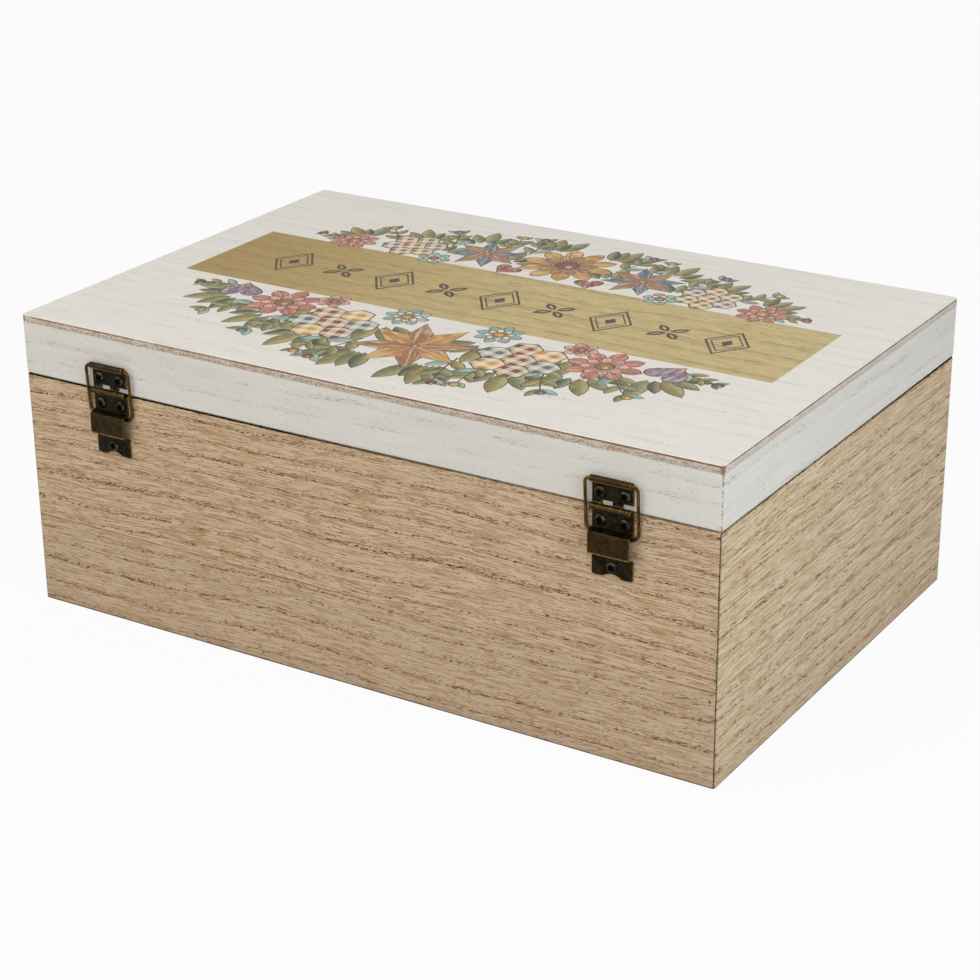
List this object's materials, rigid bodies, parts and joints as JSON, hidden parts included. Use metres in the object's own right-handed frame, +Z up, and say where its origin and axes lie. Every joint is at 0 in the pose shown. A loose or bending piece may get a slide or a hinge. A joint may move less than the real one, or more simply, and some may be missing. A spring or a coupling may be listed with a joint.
{
  "type": "sewing box",
  "caption": "Rectangular wooden sewing box with a painted lid on two support hinges, a swing-hook latch and a divided lift-out tray.",
  "frame": {"origin": "centre of the underside, on the surface that the box stands on", "axes": "+X along the length, -Y out of the latch side, +Y out of the hinge side, +Z up"},
  "size_m": [0.3, 0.2073, 0.12],
  "materials": {
    "wood_veneer": "open-pore light wood veneer, matt, dark worn edges",
    "painted_wood": "white paint rubbed through to the wood along the edges",
    "plain_wood": "plain light wood, fine sanded",
    "antique_brass": "dark antique bronze, rubbed to brass on its edges",
    "screw_brass": "antique brass, slightly lighter than the hinges"
  },
  "bodies": {
    "case": {"case_back_board": "wood_veneer", "case_bottom_panel": "plain_wood", "case_front_board": "wood_veneer", "case_left_board": "wood_veneer", "case_right_board": "wood_veneer", "latch_plate": "antique_brass", "latch_plate_screws": "screw_brass", "latch_rivet": "antique_brass", "left_hinge_lower_leaf": "antique_brass", "left_hinge_lower_screws": "screw_brass", "left_hinge_pin": "antique_brass", "right_hinge_lower_leaf": "antique_brass", "right_hinge_lower_screws": "screw_brass", "right_hinge_pin": "antique_brass", "tray_ledge_left": "plain_wood", "tray_ledge_right": "plain_wood"},
    "hook": {"latch_hook": "antique_brass"},
    "lid": {"latch_stud": "antique_brass", "left_hinge_upper_leaf": "antique_brass", "left_hinge_upper_screws": "screw_brass", "lid_back_rail": "painted_wood", "lid_front_rail": "painted_wood", "lid_left_rail": "painted_wood", "lid_right_rail": "painted_wood", "lid_top_panel": "painted_wood", "right_hinge_upper_leaf": "antique_brass", "right_hinge_upper_screws": "screw_brass", "stud_plate": "antique_brass", "stud_plate_screws": "screw_brass"},
    "left_bail": {"left_hinge_bail": "antique_brass"},
    "right_bail": {"right_hinge_bail": "antique_brass"},
    "tray": {"tray_back_divider_1": "plain_wood", "tray_back_divider_2": "plain_wood", "tray_back_divider_3": "plain_wood", "tray_back_divider_4": "plain_wood", "tray_back_wall": "plain_wood", "tray_floor": "plain_wood", "tray_front_divider_1": "plain_wood", "tray_front_divider_2": "plain_wood", "tray_front_wall": "plain_wood", "tray_left_wall": "plain_wood", "tray_long_divider": "plain_wood", "tray_right_wall": "plain_wood"}
  },
  "joints": [
    {"name": "lid_hinge", "type": "hinge", "parent": "case", "child": "lid", "pos_m": [0, 0.1011, 0.09615], "axis": [-1, 0, 0], "range_deg": [0, 90]},
    {"name": "left_bail_pivot", "type": "hinge", "parent": "lid", "child": "left_bail", "pos_m": [-0.1094, 0.1012, 0.10615], "axis": [-1, 0, 0], "range_deg": [-59.94, 0]},
    {"name": "right_bail_pivot", "type": "hinge", "parent": "lid", "child": "right_bail", "pos_m": [0.1078, 0.1012, 0.10615], "axis": [-1, 0, 0], "range_deg": [-59.94, 0]},
    {"name": "latch_hook_pivot", "type": "hinge", "parent": "case", "child": "hook", "pos_m": [0, -0.0994, 0.084], "axis": [0, -1, 0], "range_deg": [-155, 180]},
    {"name": "tray_lift", "type": "slide", "parent": "case", "child": "tray", "axis": [0, 0, 1], "range_m": [0, 0.024]}
  ],
  "couplings": [
    {"joint": "left_bail_pivot", "follows": "lid_hinge", "ratio": -0.66487},
    {"joint": "right_bail_pivot", "follows": "lid_hinge", "ratio": -0.66487}
  ]
}
